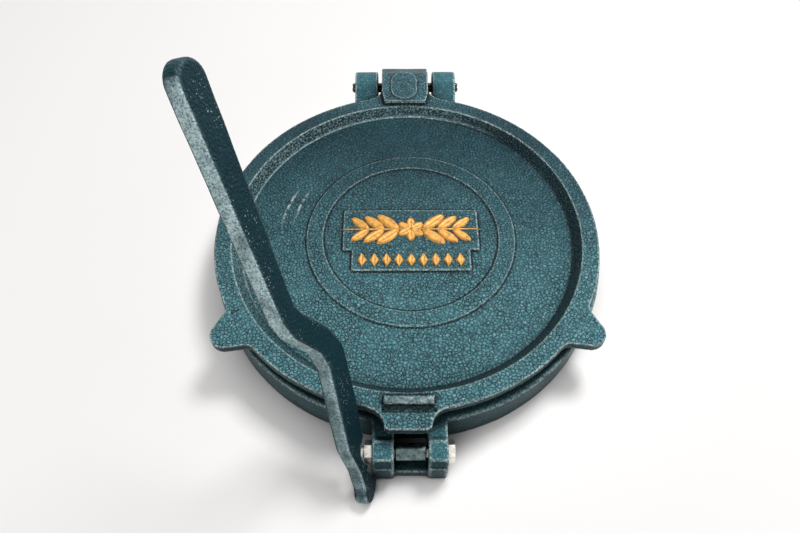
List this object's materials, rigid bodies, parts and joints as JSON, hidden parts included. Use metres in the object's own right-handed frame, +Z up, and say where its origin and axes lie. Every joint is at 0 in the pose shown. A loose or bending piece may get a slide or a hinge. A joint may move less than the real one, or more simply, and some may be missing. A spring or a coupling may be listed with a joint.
{
  "type": "tortilla press",
  "caption": "Round cast-iron tortilla press with a base on a skirt, a hinged dished lid with thumb lobes and a nose, a roller clevis and a loose bent lever.",
  "frame": {"origin": "middle of the base plate's underside, in the plane of the table", "axes": "+X across the press to its right, +Y from the roller clevis back to the hinge, +Z up"},
  "size_m": [0.2238, 0.2874, 0.2011],
  "materials": {
    "painted casting": "teal hammertone enamel over a sand casting",
    "zinc plated steel": "bright zinc plate",
    "bare steel": "bare turned steel, darkened with oil",
    "oiled steel": "slotted spring steel, slightly brown"
  },
  "bodies": {
    "root": {"base_plate": "painted casting", "hinge_pin": "oiled steel", "clevis_bolt": "zinc plated steel", "clevis_nut": "zinc plated steel"},
    "lid": {"lid_plate": "painted casting"},
    "roller": {"roller_sleeve": "bare steel"},
    "lever": {"lever": "painted casting"}
  },
  "joints": [
    {"name": "lid_hinge", "type": "hinge", "parent": "root", "child": "lid", "pos_m": [-0.0007, 0.1298, 0.024], "axis": [-1, 0, 0], "range_deg": [0, 110]},
    {"name": "roller_spin", "type": "hinge", "parent": "root", "child": "roller", "pos_m": [0, -0.1238, 0.016], "axis": [1, 0, 0], "continuous": true},
    {"name": "lever_lift", "type": "slide", "parent": "lid", "child": "lever", "axis": [0, 0, 1], "range_m": [0, 0.15]}
  ]
}
